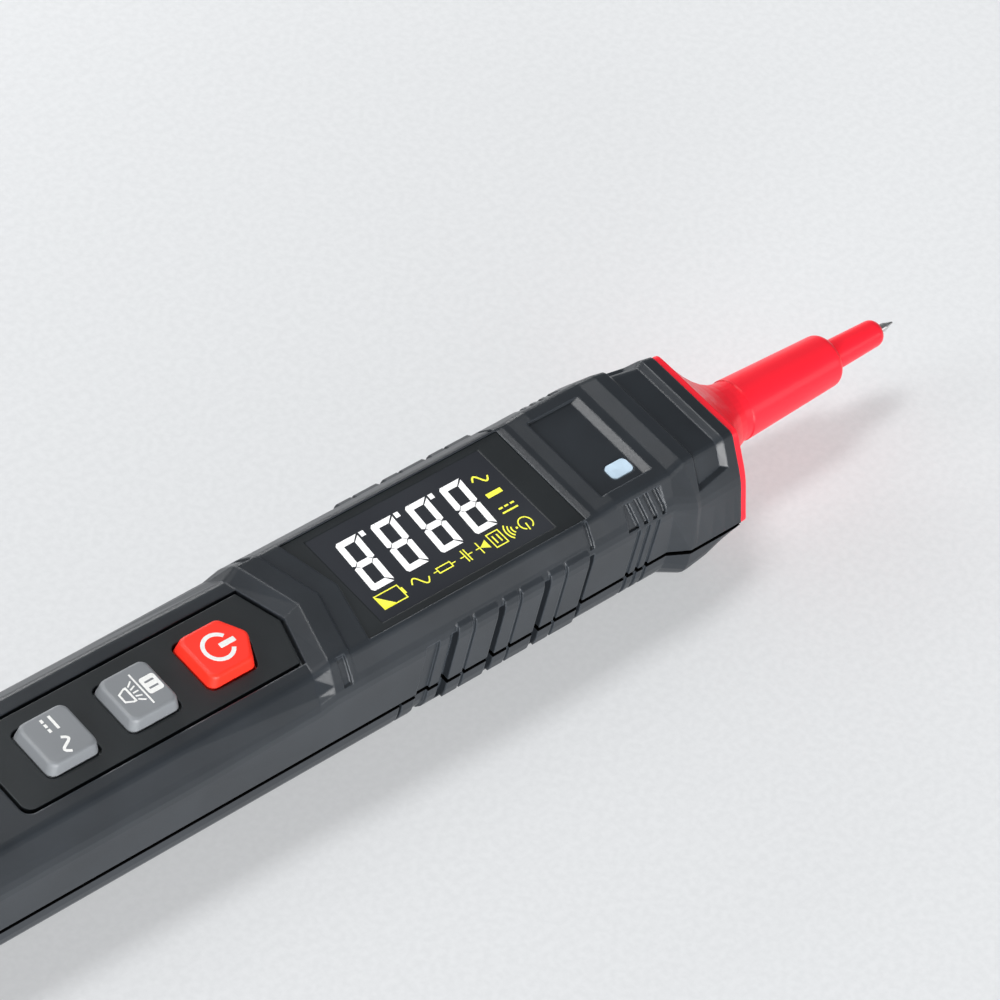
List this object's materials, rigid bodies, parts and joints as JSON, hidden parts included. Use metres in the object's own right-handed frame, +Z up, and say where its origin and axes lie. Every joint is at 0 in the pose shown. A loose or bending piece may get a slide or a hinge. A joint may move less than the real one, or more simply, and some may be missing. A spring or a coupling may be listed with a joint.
{
  "type": "pen multimeter",
  "caption": "Pen-shaped multimeter with a needle probe nose, an oblong display, a chevron step, push keys on a flush panel, side grips and a socket for the return lead at its tail.",
  "frame": {"origin": "on the resting surface under the middle of the pen's length and width", "axes": "+X along the pen towards the needle's point, +Z up out of the display and the keys, +Y across, away from the indicator window"},
  "size_m": [0.208, 0.03, 0.0226],
  "materials": {
    "housing": "fine satin grain, charcoal grey",
    "probe_red": "smooth moulded red",
    "needle_metal": "plated needle, turned",
    "contact_brass": "bare stamped or turned brass",
    "bezel": "fine satin grain",
    "window": "clear window over a dark display",
    "display": "dark display cell with pale segments",
    "backlight": "white light guide",
    "panel": "fine satin grain",
    "key_red": "satin red key with a pale symbol",
    "key_grey": "satin grey key with a pale symbol",
    "plunger": "black plunger",
    "switch_body": "moulded switch body",
    "indicator_lens": "clear light pipe with a frosted top",
    "led": "cast resin",
    "board": "green solder mask",
    "chip": "black moulding compound",
    "resistor": "coated resistor body",
    "torch_lens": "clear lens",
    "tray": "black moulded tray",
    "cell_jacket": "plain printed jacket",
    "contact_spring": "nickel-plated spring steel",
    "screw_metal": "blackened steel"
  },
  "bodies": {
    "housing": {"top_shell": "housing", "bottom_shell": "housing", "probe_nose": "probe_red", "probe_needle": "needle_metal", "probe_terminal": "contact_brass", "probe_strap": "contact_brass", "display_bezel": "bezel", "display_window": "window", "display_cell": "display", "backlight": "backlight", "key_panel": "panel", "tact_switches": "switch_body", "indicator_lens": "indicator_lens", "indicator_led": "led", "circuit_board": "board", "meter_chip": "chip", "input_resistors": "resistor", "buzzer": "chip", "sensor_plate": "contact_brass", "torch_lens": "torch_lens", "torch_led": "led", "battery_tray": "tray", "front_cell": "cell_jacket", "rear_cell": "cell_jacket", "front_contact": "contact_spring", "tail_spring": "contact_spring", "com_jack": "contact_brass", "case_screws": "screw_metal"},
    "battery_cover": {"battery_cover": "housing", "cover_screw": "screw_metal"},
    "power_key": {"power_key": "key_red", "power_plunger": "plunger"},
    "light_key": {"light_key": "key_grey", "light_plunger": "plunger"},
    "function_key": {"function_key": "key_grey", "function_plunger": "plunger"}
  },
  "joints": [
    {"name": "power_key_press", "type": "slide", "parent": "housing", "child": "power_key", "axis": [0, 0, -1], "range_m": [0, 0.0005], "stiffness_N_per_m": 1500},
    {"name": "light_key_press", "type": "slide", "parent": "housing", "child": "light_key", "axis": [0, 0, -1], "range_m": [0, 0.0005], "stiffness_N_per_m": 1500},
    {"name": "function_key_press", "type": "slide", "parent": "housing", "child": "function_key", "axis": [0, 0, -1], "range_m": [0, 0.0005], "stiffness_N_per_m": 1500},
    {"name": "battery_cover_off", "type": "slide", "parent": "housing", "child": "battery_cover", "axis": [0, 0, -1], "range_m": [0, 0.012]}
  ]
}
